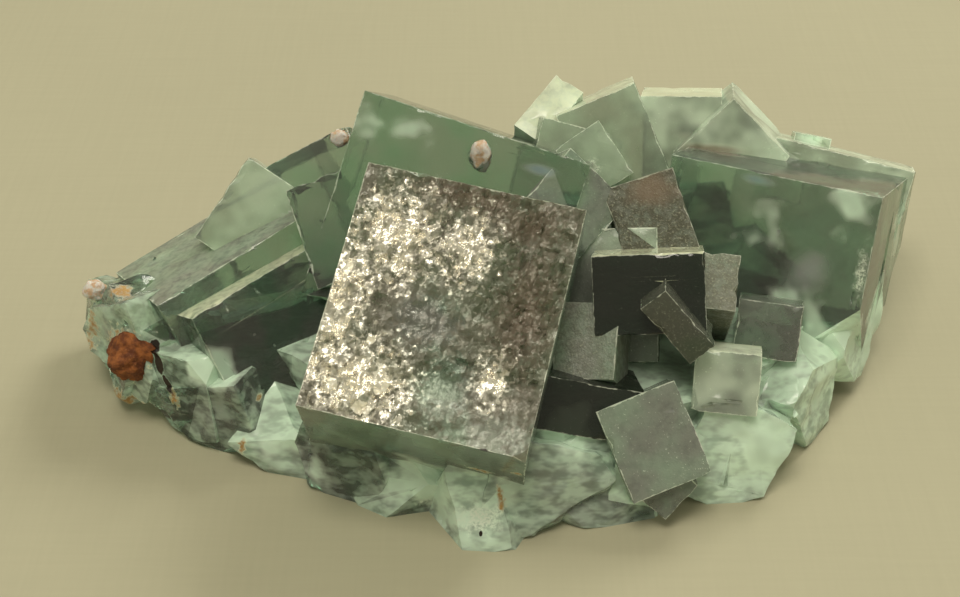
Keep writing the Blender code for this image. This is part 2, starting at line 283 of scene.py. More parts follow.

# What lies on the cluster, and painted glints: kind, middle, half sizes and turn of a ragged
# ellipsoid.
PATCHES = (
    ("rust", (-59.1, -2.3, 18.6), (3.0, 2.2, 1.8), (0, 0, 0)),
    ("rust", (-64.2, -3.4, 11.5), (1.4, 2.6, 5.0), (0, 12, 0)),
    ("rust", (-58.5, -10.0, 3.4), (6.5, 2.4, 1.6), (0, 0, -30)),
    ("rust", (-57.4, -7.8, 11.6), (5.2, 4.2, 5.2), (0, 0, 0)),
    ("rust", (-37.1, -15.6, 8.7), (1.0, 1.0, 0.8), (0, 0, 0)),
    ("rust", (-39.6, -20.9, 4.1), (0.9, 1.2, 2.0), (0, 0, 0)),
    ("rust", (-50.2, -14.6, 8.0), (0.9, 1.2, 4.2), (0, -22, 0)),
    ("rust", (0.9, -35.5, 12.3), (1.0, 1.0, 0.7), (0, 0, 0)),
    ("rust", (-4.6, -33.0, 10.6), (2.6, 1.4, 0.7), (0, 12, 0)),
    ("rust", (-1.2, -34.4, 6.4), (0.7, 1.4, 2.6), (0, -14, 0)),
    ("dark", (-53.0, -10.3, 14.2), (1.0, 1.4, 1.3), (0, 0, 0)),
    ("dark", (-52.4, -11.9, 12.3), (0.85, 1.6, 2.4), (0, -12, 0)),
    ("dark", (-50.9, -13.4, 9.3), (0.6, 1.6, 2.6), (0, -35, 0)),
    ("dark", (-58.8, -7.6, 12.6), (1.0, 1.4, 1.2), (0, 0, 0)),
    ("dark", (-37.7, -10.4, 16.6), (0.35, 0.35, 0.35), (0, 0, 0)),
    ("dark", (-34.9, -10.0, 14.3), (0.4, 0.4, 0.4), (0, 0, 0)),
    ("dark", (-36.7, -9.6, 16.9), (0.3, 0.3, 0.3), (0, 0, 0)),
    ("dark", (-3.5, -38.6, 19.6), (1.5, 0.7, 0.3), (0, 8, 0)),
    ("dark", (-4.1, -37.1, 2.1), (0.3, 0.5, 0.5), (0, 0, 0)),
    ("dark", (20.9, -32.5, 10.2), (0.3, 0.3, 0.3), (0, 0, 0)),
    ("dark", (28.3, -25.4, 8.7), (0.3, 0.3, 0.3), (0, 0, 0)),
    ("frost", (-37.3, -6.4, 21.6), (0.4, 0.5, 1.2), (0, -35, 0)),
    ("frost", (-41.5, -9.8, 20.9), (0.3, 0.4, 0.9), (0, -10, 0)),
    ("frost", (-27.4, -33.4, 22.6), (1.4, 0.8, 0.7), (0, 0, 0)),
    ("cloud", (50.8, 0.6, 31.6), (4.4, 2.8, 3.0), (0, 0, 0)),
    ("cloud", (50.3, -0.8, 27.6), (3.2, 2.4, 3.0), (0, 0, 0)),
    ("frost", (52.8, -4.0, 22.5), (1.5, 2.6, 8.0), (0, 4, 0)),
    ("frost", (-12.0, -32.0, 2.2), (2.6, 2.0, 1.6), (0, 25, 0)),
    ("frost", (-4.2, -35.8, 4.0), (5.4, 2.5, 3.4), (0, 0, 0)),
    ("frost", (13.5, 17.1, 28.1), (1.6, 1.6, 1.8), (0, 0, 0)),
    ("cloud", (36.9, 3.5, 25.0), (4.2, 3.5, 6.6), (0, 18, 0)),
    ("cloud", (-18.3, 9.3, 41.0), (5.5, 3.0, 4.5), (0, 0, 0)),
    ("cloud", (8.6, -28.0, 11.5), (5.5, 4.0, 4.0), (0, 0, 0)),
    ("cloud", (-45.6, -14.6, 13.8), (4.4, 3.0, 4.0), (0, 0, 0)),
    ("cloud", (-35.8, -21.1, 8.3), (6.0, 3.2, 4.4), (0, 0, 0)),
    ("cloud", (35.0, -25.0, 7.0), (6.5, 4.0, 6.0), (0, 0, 0)),
    ("cloud", (48.3, -10.0, 10.0), (6.0, 6.0, 5.0), (0, 0, 0)),
    ("cloud", (51.1, 27.7, 27.0), (4.0, 3.0, 3.0), (0, 0, 0)),
    ("cloud", (66.0, 12.0, 18.0), (5.0, 14.0, 12.0), (0, 0, 0)),
    ("cloud", (46.0, -5.0, 14.0), (9.0, 6.0, 5.0), (0, 0, 0)),
    ("cloud", (-10.0, -30.0, 5.0), (14.0, 8.0, 4.0), (0, 0, 0)),
    ("cloud", (32.0, 34.0, 28.0), (9.0, 6.0, 6.0), (0, 0, 0)),
    ("cloud", (41.0, 32.0, 28.0), (6.0, 6.0, 7.0), (0, 0, 0)),
    ("cloud", (60.0, 2.0, 12.0), (8.0, 6.0, 8.0), (0, 0, 0)),
    ("blue", (4.7, 3.6, 36.7), (3.6, 2.0, 1.0), (0, 8, 0)),
    ("blue", (38.5, 7.7, 32.2), (6.5, 2.0, 1.2), (0, 4, 0)),
    ("violet", (45.8, -1.2, 21.8), (5.5, 3.0, 5.5), (0, 0, 0)),
    ("violet", (-49.0, -12.6, 18.4), (4.5, 2.0, 2.2), (0, 0, 0)),
    ("brown", (21.5, 2.7, 33.0), (5.5, 3.0, 5.0), (0, 0, 0)),
    ("brown", (33.0, 20.5, 29.4), (8.0, 4.0, 1.2), (0, 0, -20)),
    # On the etched face: across it, up it, and nothing. Its silvery and plate patches are painted
    # glints.
    ("painted_glint", (-14.0, -3.0, 0), (4.5, 18.0, 1), (0, 0, 0)),
    ("painted_glint", (-9.0, -13.0, 0), (9.5, 8.0, 1), (0, 0, 0)),
    # Plates: painted glints on single terraces of the etched face.
    ("plate", (-5.7, -12.6, 0), (1.4, 1.9, 1), (0, 0, 12)),
    ("plate", (-7.2, -17.0, 0), (1.6, 1.0, 1), (0, 0, 5)),
    ("plate", (-12.5, -14.6, 0), (1.3, 1.2, 1), (0, 0, -20)),
    ("plate", (-8.6, -7.2, 0), (0.8, 0.7, 1), (0, 0, 15)),
    ("plate", (-13.4, 13.8, 0), (0.7, 0.7, 1), (0, 0, 10)),
    ("plate", (-14.6, 2.5, 0), (0.8, 1.6, 1), (0, 0, 0)),
    ("painted_glint", (-9.0, 9.0, 0), (8.0, 9.0, 1), (0, 0, 0)),
    ("painted_glint", (1.5, 9.0, 0), (4.5, 7.0, 1), (0, 0, 0)),
    ("tarnish", (0.0, 17.0, 0), (13.0, 3.5, 1), (0, 0, 0)),
    ("painted_glint", (9.0, -9.0, 0), (3.0, 5.0, 1), (0, 0, 0)),
    ("tarnish", (11.0, 2.0, 0), (6.0, 14.0, 1), (0, 0, 0)),
    ("tarnish", (9.0, 14.5, 0), (8.0, 5.0, 1), (0, 0, 0)),
    ("calm", (-2.0, -3.0, 0), (6.0, 5.5, 1), (0, 0, 0)),
    ("calm", (3.0, -12.0, 0), (5.5, 7.0, 1), (0, 0, 0)),
    ("calm", (10.0, -17.0, 0), (9.0, 5.0, 1), (0, 0, 0)),
    ("mist", (10.0, -17.0, 0), (11.0, 7.0, 1), (0, 0, 0)),
    ("mist", (2.0, -13.0, 0), (6.0, 6.0, 1), (0, 0, 0)),
)


def add_number(piece, name, values):
    """Keeps a number for each face of a piece, for its material to read."""
    attribute = piece.data.attributes.new(name, "FLOAT", "FACE")
    attribute.data.foreach_set("value", np.asarray(values, dtype=np.float32))


def faces_of(piece):
    """Each face's centre and normal, as arrays."""
    count = len(piece.data.polygons)
    centres, normals = np.empty(count * 3), np.empty(count * 3)
    piece.data.polygons.foreach_get("center", centres)
    piece.data.polygons.foreach_get("normal", normals)
    return centres.reshape(-1, 3), normals.reshape(-1, 3)


LAYER_RISE = 0.6  # a growth layer stands at most this far off its crystal's face
LAYER_LOWERING = 0.96  # the share of its height that each layer loses, for fainter lines
STEP_DEPTH = 0.8  # a face deeper than this in its crystal is the riser of a growth layer
ETCH_SINK = 1.3  # the etched face lies at most this far below the largest cube's front
BROKEN = -1


def sort_faces(piece):
    """For each face, its crystal or BROKEN, the axis it looks along, whether it is etched,
    and how far it stands off its crystal's flat face, in millimetres."""
    centres, normals = faces_of(piece)
    best = np.full(len(centres), np.inf)
    owner = np.full(len(centres), BROKEN)
    rise = np.zeros(len(centres))
    axis_of = np.full(len(centres), 2)
    for number, crystal in enumerate(CRYSTALS.values()):
        axes = np.array(turned(*crystal.facing))
        half = np.array(crystal.size) / 2
        local = (centres - np.array(in_place(crystal.middle))) @ axes / MM
        looks = np.abs(normals @ axes)
        axis = looks.argmax(axis=1)
        inside = (np.abs(local) < half + LAYER_RISE).all(axis=1)
        flat = np.take_along_axis(looks, axis[:, None], 1)[:, 0] > 0.9995
        above = np.take_along_axis(np.abs(local) - half, axis[:, None], 1)[:, 0]
        depth = np.abs(above)
        if number == 0:
            sunk = (local[:, 2] > half[2] - ETCH_SINK) & (normals @ axes[:, 2] > 0.2)
            etched = sunk & inside
        found = inside & flat & (depth < best)
        best[found], owner[found], axis_of[found] = depth[found], number, axis[found]
        rise[found] = above[found]
    owner[etched], axis_of[etched] = 0, 2
    return owner, axis_of, etched, rise


def lay_face_map(piece, owner, axis_of, rise):
    """Gives each face its own flat coordinates in millimetres, along its crystal's edges.

    half_sides holds half of its crystal's sides along them, which the wear of the edges
    reads. It stays large where nothing wears: on breaks and on the risers of growth layers.
    """
    uv = piece.data.uv_layers.new(name="face_mm")
    crystals = list(CRYSTALS.values())
    axes = [turned(*crystal.facing) for crystal in crystals]
    middles = [in_place(crystal.middle) for crystal in crystals]
    half_sides = np.full((len(owner), 3), 99.0)
    for polygon in piece.data.polygons:
        number = owner[polygon.index]
        if number == BROKEN:
            across = polygon.normal.orthogonal().normalized()
            along = polygon.normal.cross(across)
            middle = Vector()
        else:
            first, second = sorted({0, 1, 2} - {int(axis_of[polygon.index])})
            across, along = axes[number].col[first], axes[number].col[second]
            middle = middles[number]
        if number != BROKEN and abs(rise[polygon.index]) < STEP_DEPTH:
            half_sides[polygon.index, 0] = crystals[number].size[first] / 2
            half_sides[polygon.index, 1] = crystals[number].size[second] / 2
        for corner in polygon.loop_indices:
            place = piece.data.vertices[piece.data.loops[corner].vertex_index].co - middle
            uv.data[corner].uv = (place.dot(across) / MM, place.dot(along) / MM)
    attribute = piece.data.attributes.new("half_sides", "FLOAT_VECTOR", "FACE")
    attribute.data.foreach_set("vector", half_sides.astype(np.float32).ravel())


def smooth_step(value, low, high):
    share = min(1.0, max(0.0, (value - low) / (high - low)))
    return share * share * (3 - 2 * share)


def mosaic(x, y, size, tilt, seed):
    """Square-edged plates, each a little higher and tilted its own way, in millimetres."""
    at = Vector((x / size, y / size, seed))
    _, points = noise.voronoi(at, distance_metric="CHEBYCHEV", exponent=2.5)
    plate = points[0]
    turn = noise.cell_vector(plate * 7.3)
    offset = at - plate
    return size * (tilt * (offset.x * (turn.x - 0.5) + offset.y * (turn.y - 0.5)) * 2)


def etched_relief(x, y, half_x, half_y, depth):
    """Height of the etched face in millimetres: folds, plates and grains, calmer in places."""
    u, v = x / half_x, y / half_y
    middle = 1 - smooth_step(((u + 0.1) / 0.5) ** 2 + ((v + 0.12) / 0.4) ** 2, 0.3, 1.0)
    corner = 1 - smooth_step(((u - 0.45) / 0.75) ** 2 + ((v + 0.85) / 0.45) ** 2, 0.4, 1.1)
    rough = 1 - 0.75 * max(middle, corner)
    folds = noise.fractal(Vector((x * 0.42 + y * 0.1, y * 0.22, 2.1)), 0.9, 2.0, 4)
    lumps = noise.noise(Vector((x * 0.8, y * 0.7, 7.7)))
    plates = mosaic(x, y, 2.4, 0.38, 4.4) + mosaic(x, y, 0.85, 0.55, 8.8)
    grain = noise.noise(Vector((x * 2.6, y * 2.6, 1.2)))
    fine = noise.noise(Vector((x * 5.5, y * 5.5, 6.1)))
    heights = 0.55 * folds + 0.22 * lumps + 0.9 * plates + 0.10 * grain
    rim = smooth_step(min(half_x - abs(x), half_y - abs(y)), 0.0, 0.8)
    return depth * (rough * heights + 0.035 * fine) * (0.15 + 0.85 * rim)


def broken_relief(place):
    """Height of the broken faces in millimetres: flat facets that meet at crisp ridges."""
    height = 0.0
    for size, slope, seed in ((8.0, 0.13, 0.0), (3.2, 0.08, 40.0)):
        at = place / size + Vector((seed, seed, seed))
        distances, _ = noise.voronoi(at, distance_metric="MANHATTAN", exponent=2.5)
        height += slope * size * (distances[0] - 0.75)
    return max(-0.8, min(0.6, height))


def facet_tones(normals):
    """How milky each broken facet is. Facets that look one way are alike."""
    keys = np.round(normals * 50)
    spread = np.sin(keys @ np.array((12.9898, 78.233, 37.719))) * 43758.5453
    return 0.32 + 0.62 * (spread - np.floor(spread))


ETCHED_CUTS = 3  # cuts of each edge of the etched face's net
BROKEN_EDGE, WHOLE_EDGE = 1.25, 2.2  # longest edges of the other faces, in millimetres
REFINE_ROUNDS = 6
SMOOTH_ANGLE = 12  # degrees between faces that are shaded as one


# Places along the specimen in millimetres, and how much milkier its breaks are painted there:
# paler towards the right end, a painted glow where light shines through the thin base,
# and darker at the left tip.
PAINTED_LIGHT_ALONG = (-60, -45, 0, 20, 45), (-0.35, 0, 0.06, 0.06, 0.45)


def refine(piece, chosen, cuts):
    """Divides the chosen faces of a piece into a fine net."""
    make_active(piece)
    bpy.ops.object.mode_set(mode="EDIT")
    bpy.ops.mesh.select_mode(type="FACE")
    bpy.ops.mesh.select_all(action="DESELECT")
    mesh = bmesh.from_edit_mesh(piece.data)
    mesh.faces.ensure_lookup_table()
    for face in mesh.faces:
        face.select_set(chosen(mesh, face))
    bmesh.update_edit_mesh(piece.data)
    bpy.ops.mesh.subdivide(number_cuts=cuts)
    bpy.ops.object.mode_set(mode="OBJECT")


def refine_long_edges(piece, name, longest, rounds):
    """Halves the long edges of the faces that hold a number over 0.5, until they are short."""
    make_active(piece)
    bpy.ops.object.mode_set(mode="EDIT")
    for _ in range(rounds):
        bpy.ops.mesh.select_mode(type="EDGE")
        bpy.ops.mesh.select_all(action="DESELECT")
        mesh = bmesh.from_edit_mesh(piece.data)
        layer = mesh.faces.layers.float[name]
        for edge in mesh.edges:
            wanted = any(face[layer] > 0.5 for face in edge.link_faces)
            if wanted and edge.calc_length() > longest * MM:
                edge.select_set(True)
        bmesh.update_edit_mesh(piece.data)
        bpy.ops.mesh.subdivide(number_cuts=1)
        bpy.ops.mesh.select_mode(type="FACE")
        bpy.ops.mesh.select_all(action="SELECT")
        bpy.ops.mesh.quads_convert_to_tris(quad_method="BEAUTY", ngon_method="BEAUTY")
    bpy.ops.object.mode_set(mode="OBJECT")


def etch(piece, depth):
    """Moves the points of the etched face along the largest cube's front axis."""
    crystal = CRYSTALS["main"]
    axes, middle = turned(*crystal.facing), in_place(crystal.middle)
    mesh = bmesh.new()
    mesh.from_mesh(piece.data)
    layer = mesh.faces.layers.float["etched"]
    for vertex in mesh.verts:
        if any(face[layer] > 0.5 for face in vertex.link_faces):
            local = axes.transposed() @ (vertex.co - middle) / MM
            height = etched_relief(
                local.x, local.y, crystal.size[0] / 2, crystal.size[1] / 2, depth
            )
            vertex.co += axes.col[2] * height * MM
    mesh.to_mesh(piece.data)
    mesh.free()


def edge_distance(vertex, sides, faces_uv):
    """How far in from the edges of its own cube's faces a point lies, in millimetres."""
    nearest = 99.0
    for loop in vertex.link_loops:
        half, at = loop.face[sides], loop[faces_uv].uv
        nearest = min(nearest, half[0] - abs(at.x), half[1] - abs(at.y))
    return nearest


def wear(piece, depth):
    """Wears the crystals' edges unevenly and makes their flat faces a little uneven."""
    mesh = bmesh.new()
    mesh.from_mesh(piece.data)
    layer = mesh.faces.layers.float["whole"]
    rises = mesh.faces.layers.float["rise"]
    sides = mesh.faces.layers.float_vector["half_sides"]
    faces_uv = mesh.loops.layers.uv["face_mm"]
    moves, between = [], []  # between: points on the risers of growth layers, which follow
    for vertex in mesh.verts:
        if vertex.co.z < 0.5 * MM or any(face[layer] < 0.5 for face in vertex.link_faces):
            continue
        place = vertex.co / MM
        height = 0.05 * noise.noise(place * 0.25) + 0.02 * noise.noise(place * 1.1)
        sharpest = max(edge.calc_face_angle_signed(0.0) for edge in vertex.link_edges)
        if sharpest > radians(40) and edge_distance(vertex, sides, faces_uv) < 0.8:
            chips = smooth_step(noise.fractal(place * 0.45, 1.0, 2.0, 3), 0.05, 0.7)
            height -= 0.06 + 0.5 * chips
        steps = [face for face in vertex.link_faces if abs(face[rises]) < STEP_DEPTH]
        if not steps:
            between.append(vertex)
            continue
        highest = max(steps, key=lambda face: face[rises])
        sunk = highest.normal * max(0.0, highest[rises]) * LAYER_LOWERING
        moves.append((vertex, (vertex.normal * height * depth - sunk) * MM))
    for vertex, move in moves:
        vertex.co += move
    for _ in range(4):
        for vertex in between:
            ends = [edge.other_vert(vertex).co for edge in vertex.link_edges]
            vertex.co = sum(ends, Vector()) / len(ends)
    mesh.to_mesh(piece.data)
    mesh.free()


def roughen_breaks(piece, depth):
    """Gives the broken faces a hackly relief, without moving the crystals' faces."""
    mesh = bmesh.new()
    mesh.from_mesh(piece.data)
    layer = mesh.faces.layers.float["broken"]
    moves = []
    for vertex in mesh.verts:
        if all(face[layer] > 0.5 for face in vertex.link_faces) and vertex.co.z > 0.5 * MM:
            moves.append((vertex, vertex.normal * broken_relief(vertex.co / MM) * depth * MM))
    for vertex, move in moves:
        vertex.co += move
        vertex.co.z = max(vertex.co.z, 0.1 * MM)
    mesh.to_mesh(piece.data)
    mesh.free()


# Colours that only small or deep places have.
# Near-black painted shade, for crystals whose depths look dark.
PAINTED_SHADE_COLOUR = (0.02, 0.025, 0.018, 1)
VIOLET = (0.30, 0.27, 0.33, 1)
BLUE = (0.10, 0.20, 0.28, 1)
BROWN = (0.20, 0.14, 0.09, 1)
RUST_PALE = (0.50, 0.31, 0.10, 1)
RUST_DEEP = (0.26, 0.12, 0.04, 1)
CRACK_COLOUR = (0.02, 0.012, 0.008, 1)
RUST_CRUMBS = (0.55, 0.26, 0.07, 1)
CHALK_CRUMBS = (0.93, 0.90, 0.86, 1)
FLUORITE_IOR = 1.434


def crystal_material(settings):
    """Clear green fluorite that darkens with depth, etched, frosted, dusty or stained,
    with painted shade, sheen and glints in places.
    """
    shader = Shader("fluorite")
    place = shader.millimetres()
    face = shader.add("ShaderNodeUVMap", {}, uv_map="face_mm")
    etched = shader.attribute("etched")
    broken = shader.attribute("broken")
    # Wide clouds, ragged edges and fine speckle, which everything below shares.
    clouds = shader.noise(place, 0.13, 2.0, 0.55)
    ragged = shader.noise(place, 0.9, 2.0, 0.6)
    speckle = shader.noise(place, 3.0, 2.0, 0.7)
    specks = shader.ramp(speckle, 0.5, 0.7)

    # Distance from the edges of the crystal's face, frosted where they wear, with a pale
    #     painted highlight along them too.
    sides = shader.attribute("half_sides", "Vector")
    reach = shader.add("ShaderNodeVectorMath", {0: face}, operation="ABSOLUTE")
    inset = shader.add("ShaderNodeVectorMath", {0: sides, 1: reach}, operation="SUBTRACT")
    parts = shader.tree.nodes.new("ShaderNodeSeparateXYZ")
    shader.feed(parts.inputs[0], inset)
    from_edge = shader.math("MINIMUM", parts.outputs["X"], parts.outputs["Y"])
    worn_and_glinting = shader.ramp(shader.less(from_edge, shader.times(ragged, 0.6)), -0.16, -0.3)

    kinds = {kind: shader.patches(place, kind, ragged) for kind in CRISP_KINDS}
    kinds |= {kind: shader.patches(place, kind, clouds) for kind in SOFT_KINDS}
    zones = {
        kind: shader.times(etched, shader.patches(face, kind, ragged)) for kind in ETCHED_KINDS
    }
    # Painted glints on the etched face, which come and go in clumps and shards.
    clumps = shader.noise(face, 0.4, 2.0, 0.6)
    shards = shader.shards(shader.stretched(face, (1.25, 0.85, 1)), 0.8)
    lit = shader.plus(clumps, shader.times(shards, 0.5))
    zones["painted_glint"] = shader.times(zones["painted_glint"], shader.ramp(lit, 0.56, 0.74, 0.3, 1.0))
    bare = shader.less(1.0, shader.times(zones["calm"], 0.5))

    dust = shader.times(shader.attribute("dust"), shader.ramp(ragged, 0.3, 0.6, 0.7, 1.0))
    haze = shader.times(
        shader.attribute("haze"), shader.less(1.0, etched), shader.ramp(clouds, 0.3, 0.7, 0.5, 1.0)
    )
    stars = shader.times(
        shader.ramp(speckle, 0.66, 0.72), shader.ramp(shader.attribute("dust"), 0.0, 0.4, 0.2, 0.45)
    )
    stars = shader.times(stars, shader.less(1.0, etched))
    cloud = shader.math("MAXIMUM", kinds["cloud"], shader.times(zones["mist"], 0.38))
    streaks = shader.noise(shader.stretched(place, (0.55, 1.1, 1.2)), 0.5, 2.0, 0.6)
    splinters = shader.ramp(streaks, 0.34, 0.66, -0.16, 0.2)
    # Milky veils of the breaks, which also carry the painted glow along the specimen.
    veil_and_painted_glow = shader.plus(shader.attribute("tone"), shader.times(splinters, broken))
    # Painted sheen on faces that look up, standing in for the light from above that they catch.
    painted_sheen = shader.times(shader.attribute("painted_sheen"), shader.ramp(ragged, 0.3, 0.65, 0.6, 1.0))
    frost = shader.times(kinds["frost"], shader.ramp(speckle, 0.35, 0.6, 0.15, 0.75))
    # Pale lines along the edges: partly wear, partly painted highlight.
    frost = shader.math("MAXIMUM", frost, shader.times(worn_and_glinting, 0.5))
    frost = shader.math("MAXIMUM", frost, shader.times(stars, 0.45))
    shade = shader.attribute("shade")

    mottle = shader.ramp(clouds, 0.36, 0.64, 0.82, 1.12)
    dusty = shader.mix(specks, settings.dust_colour, settings.speck_colour)
    greener = shader.ramp(clouds, 0.35, 0.65)
    colour = shader.mix(greener, settings.clear_colour, settings.deep_colour)
    colour = shader.mix(haze, colour, settings.haze_colour)
    colour = shader.mix(veil_and_painted_glow, colour, settings.break_colour)
    colour = shader.mix(cloud, colour, settings.break_colour)
    colour = shader.add(
        "ShaderNodeVectorMath", {0: colour, "Scale": mottle}, operation="SCALE"
    )
    # Painted shade: darkens the crystals whose depths look dark.
    colour = shader.mix(shade, colour, PAINTED_SHADE_COLOUR)
    colour = shader.mix(dust, colour, dusty)
    colour = shader.mix(painted_sheen, colour, settings.painted_sheen_colour)
    colour = shader.mix(shader.times(kinds["violet"], 0.6), colour, VIOLET)
    colour = shader.mix(shader.times(kinds["blue"], 0.7), colour, BLUE)
    colour = shader.mix(shader.times(kinds["brown"], 0.7), colour, BROWN)
    colour = shader.mix(shader.times(etched, bare, 0.8), colour, settings.etched_colour)
    tarnish = shader.times(zones["tarnish"], shader.ramp(ragged, 0.35, 0.6, 0.5, 0.9))
    colour = shader.mix(tarnish, colour, settings.tarnish_colour)
    # Painted glints: near-white patches where the etched face catches the light.
    painted_glint = shader.math("MAXIMUM", zones["painted_glint"], zones["plate"])
    colour = shader.mix(painted_glint, colour, settings.painted_glint_colour)
    colour = shader.mix(frost, colour, settings.frost_colour)
    rusty = shader.mix(ragged, RUST_PALE, RUST_DEEP)
    rust = shader.times(kinds["rust"], shader.ramp(speckle, 0.25, 0.5, 0.5, 1.0))
    colour = shader.mix(rust, colour, rusty)
    colour = shader.mix(kinds["dark"], colour, CRACK_COLOUR)

    # What lies on the crystal or clouds it, and the painted shade, sheen and glints, which let
    #     less light through.
    cover = shader.plus(
        shader.times(dust, 0.8), shader.times(haze, 0.5), shader.times(veil_and_painted_glow, 0.7),
        shader.times(cloud, 0.65),
        shader.times(painted_sheen, 0.8), shader.times(shade, 0.5),
        shader.times(frost, 0.8), shader.times(rust, 0.9), kinds["dark"],
        shader.times(etched, bare, 0.45), shader.times(painted_glint, 0.5),
        shader.times(kinds["violet"], 0.35), shader.times(kinds["brown"], 0.5),
        shader.times(kinds["blue"], 0.5),
    )
    clearness = shader.ramp(cover, 0.0, 1.0, settings.clearness, 0.0)
    roughness = shader.plus(
        0.05, shader.times(dust, 0.4), shader.times(haze, 0.15), shader.times(broken, 0.1),
        shader.times(etched, 0.14), shader.times(frost, 0.3), shader.times(rust, 0.5),
    )

    pits = shader.times(
        speckle, shader.plus(shader.attribute("dust"), shader.times(etched, 0.6))
    )
    # Each shard of the etched face leans its own way, so that some of them catch the light.
    tilt = shader.add(
        "ShaderNodeVectorMath", {0: shards, 1: (0.5, 0.5, 0.5)}, operation="SUBTRACT"
    )
    tilt = shader.add("ShaderNodeVectorMath", {
        0: tilt, "Scale": shader.times(etched, bare, 0.7)
    }, operation="SCALE")
    normal = shader.add("ShaderNodeVectorMath", {
        0: shader.bump(pits, 0.2, 0.9), 1: tilt
    }, operation="ADD")
    normal = shader.add("ShaderNodeVectorMath", {0: normal}, operation="NORMALIZE")

    # Metallic on the painted glints and a little on the etched face, so that they reflect the
    # lights.
    glitter = shader.plus(shader.times(zones["painted_glint"], 0.75), shader.times(etched, 0.12))
    glitter = shader.math("MAXIMUM", glitter, shader.times(zones["plate"], 0.5))
    shader.finish(
        Base_Color=colour, Roughness=roughness, IOR=FLUORITE_IOR, Metallic=glitter,
        Transmission_Weight=clearness, Normal=normal, Subsurface_Weight=0.3,
        Subsurface_Radius=(0.8, 1.0, 0.85), Subsurface_Scale=0.004,
    )
    volume = {"Color": settings.depth_colour, "Density": settings.depth_density}
    inside = shader.add("ShaderNodeVolumeAbsorption", volume)
    output = shader.tree.nodes["Material Output"]
    shader.feed(output.inputs["Volume"], inside)
    return shader.material


def rust_material(settings):
    """Earthy rust brown, crumbly, darker in its hollows."""
    shader = Shader("iron_oxide")
    place = shader.millimetres()
    lumps = shader.noise(place, 0.7, 5.0, 0.6)
    crumbs = shader.noise(place, 3.0, 4.0, 0.7)
    colour = shader.mix(shader.ramp(lumps, 0.35, 0.65), settings.rust_dark, settings.rust_light)
    colour = shader.mix(shader.ramp(crumbs, 0.62, 0.75), colour, RUST_CRUMBS)
    height = shader.plus(lumps, shader.times(crumbs, 0.5))
    roughness = shader.ramp(crumbs, 0.3, 0.7, 0.95, 0.7)
    shader.finish(
        Base_Color=colour, Roughness=roughness, Normal=shader.bump(height, 0.5, 0.8)
    )
    return shader.material


def grain_material(settings):
    """Chalky off-white with a warm stain in patches."""
    shader = Shader("pale_grain")
    place = shader.millimetres()
    stain = shader.noise(place, 0.8, 3.0)
    crumbs = shader.noise(place, 3.6, 4.0, 0.7)
    colour = shader.mix(
        shader.ramp(stain, 0.45, 0.62), settings.grain_colour, settings.grain_stain
    )
    colour = shader.mix(shader.ramp(crumbs, 0.6, 0.75), colour, CHALK_CRUMBS)
    roughness = shader.ramp(crumbs, 0.3, 0.7, 0.8, 0.45)
    shader.finish(
        Base_Color=colour, Roughness=roughness, Subsurface_Weight=0.25,
        Subsurface_Scale=0.001, Normal=shader.bump(crumbs, 0.35, 0.8),
    )
    return shader.material


def make_lump(node, name, swell, crumble):
    """A crumbly lump in the place of its solid, grown a little so that it fills its pocket."""
    lump = merged_copy(node, name)
    make_active(lump)
    bpy.ops.object.mode_set(mode="EDIT")
    bpy.ops.mesh.select_all(action="SELECT")
    bpy.ops.mesh.subdivide(number_cuts=3, smoothness=0.6)
    bpy.ops.transform.shrink_fatten(value=swell * MM)
    bpy.ops.mesh.quads_convert_to_tris()
    bpy.ops.object.mode_set(mode="OBJECT")
    for number, (size, strength) in enumerate(((1.1, 0.55), (0.45, 0.25))):
        texture = bpy.data.textures.new(f"{name}_crumbs_{number}", "CLOUDS")
        texture.noise_scale = size * MM
        texture.noise_depth = 3
        displace = lump.modifiers.new("crumbs", "DISPLACE")
        displace.texture = texture
        displace.texture_coords = "OBJECT"
        displace.strength = crumble * strength * MM
        bpy.ops.object.modifier_apply(modifier=displace.name)
        bpy.data.textures.remove(texture)
    bpy.ops.object.shade_smooth_by_angle(angle=radians(40))
    return lump


